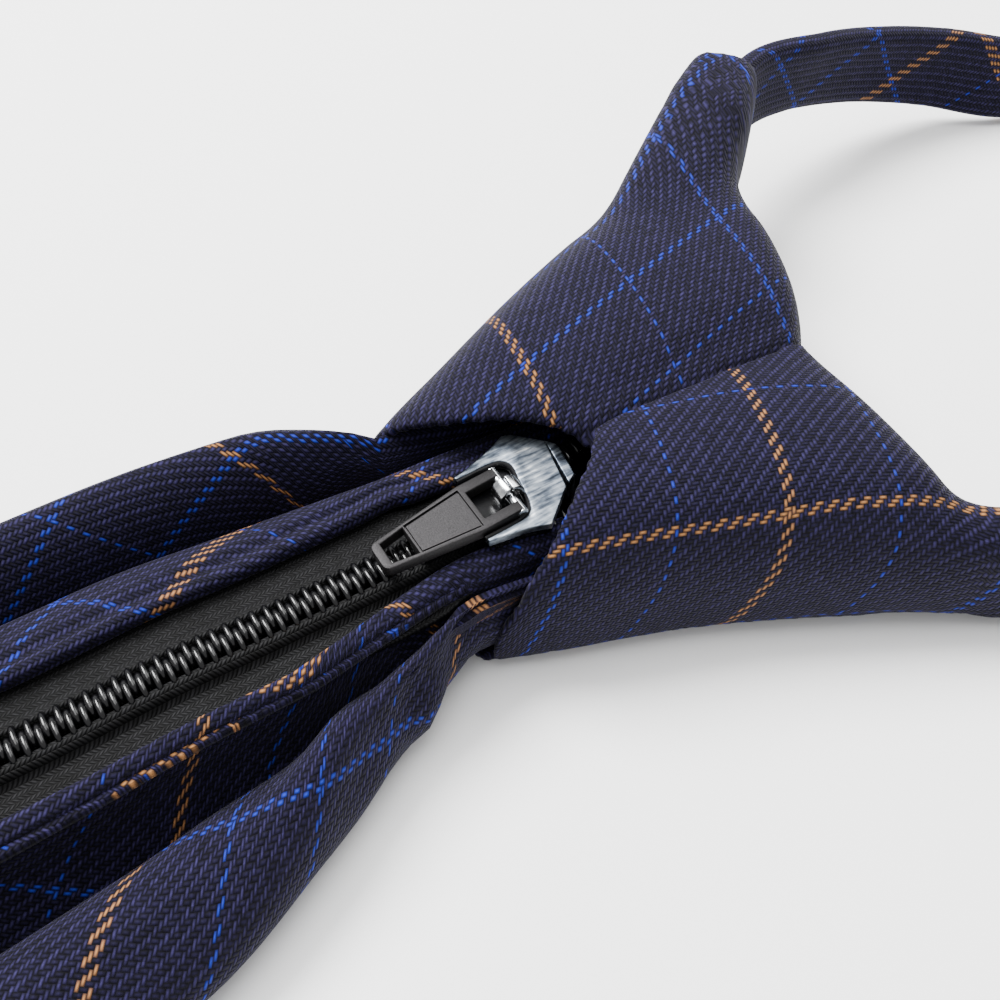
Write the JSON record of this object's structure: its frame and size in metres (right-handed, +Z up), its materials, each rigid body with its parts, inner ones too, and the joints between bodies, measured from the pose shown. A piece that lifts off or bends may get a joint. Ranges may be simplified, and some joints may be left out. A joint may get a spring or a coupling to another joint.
{
  "type": "zipper necktie",
  "caption": "Pre-tied necktie in windowpane check cloth lying face down, with a whole neck loop, a zipper down its back and a hinged slider pull.",
  "frame": {"origin": "on the flat front face of the knot, which lies on the floor, under the slider", "axes": "+Z up from the floor out of the back of the knot, +Y towards the neck loop, -Y towards the tip of the blade, +X to the right seen from above"},
  "size_m": [0.0853, 0.6201, 0.0237],
  "materials": {
    "check_cloth": "navy melange twill with tan and blue windowpane lines",
    "zip_tape": "black woven polyester tape",
    "nylon_coil": "black nylon coil",
    "cast_metal": "worn cast slider metal",
    "gunmetal": "matte gunmetal, worn at the edges"
  },
  "bodies": {
    "tie": {"front_blade": "check_cloth", "knot_wrap": "check_cloth", "neck_band": "check_cloth", "zip_border_left": "check_cloth", "zip_border_right": "check_cloth", "zip_tape_left": "zip_tape", "zip_tape_right": "zip_tape", "zip_coil_left": "nylon_coil", "zip_coil_right": "nylon_coil", "zip_stop": "cast_metal", "slider_body": "cast_metal", "slider_bail": "cast_metal"},
    "pull": {"pull_tab": "gunmetal"}
  },
  "joints": [
    {"name": "tab_hinge", "type": "hinge", "parent": "tie", "child": "pull", "pos_m": [0.00014, -0.00505, 0.0158], "axis": [-0.9999, -0.014, 0], "range_deg": [0, 100]}
  ]
}
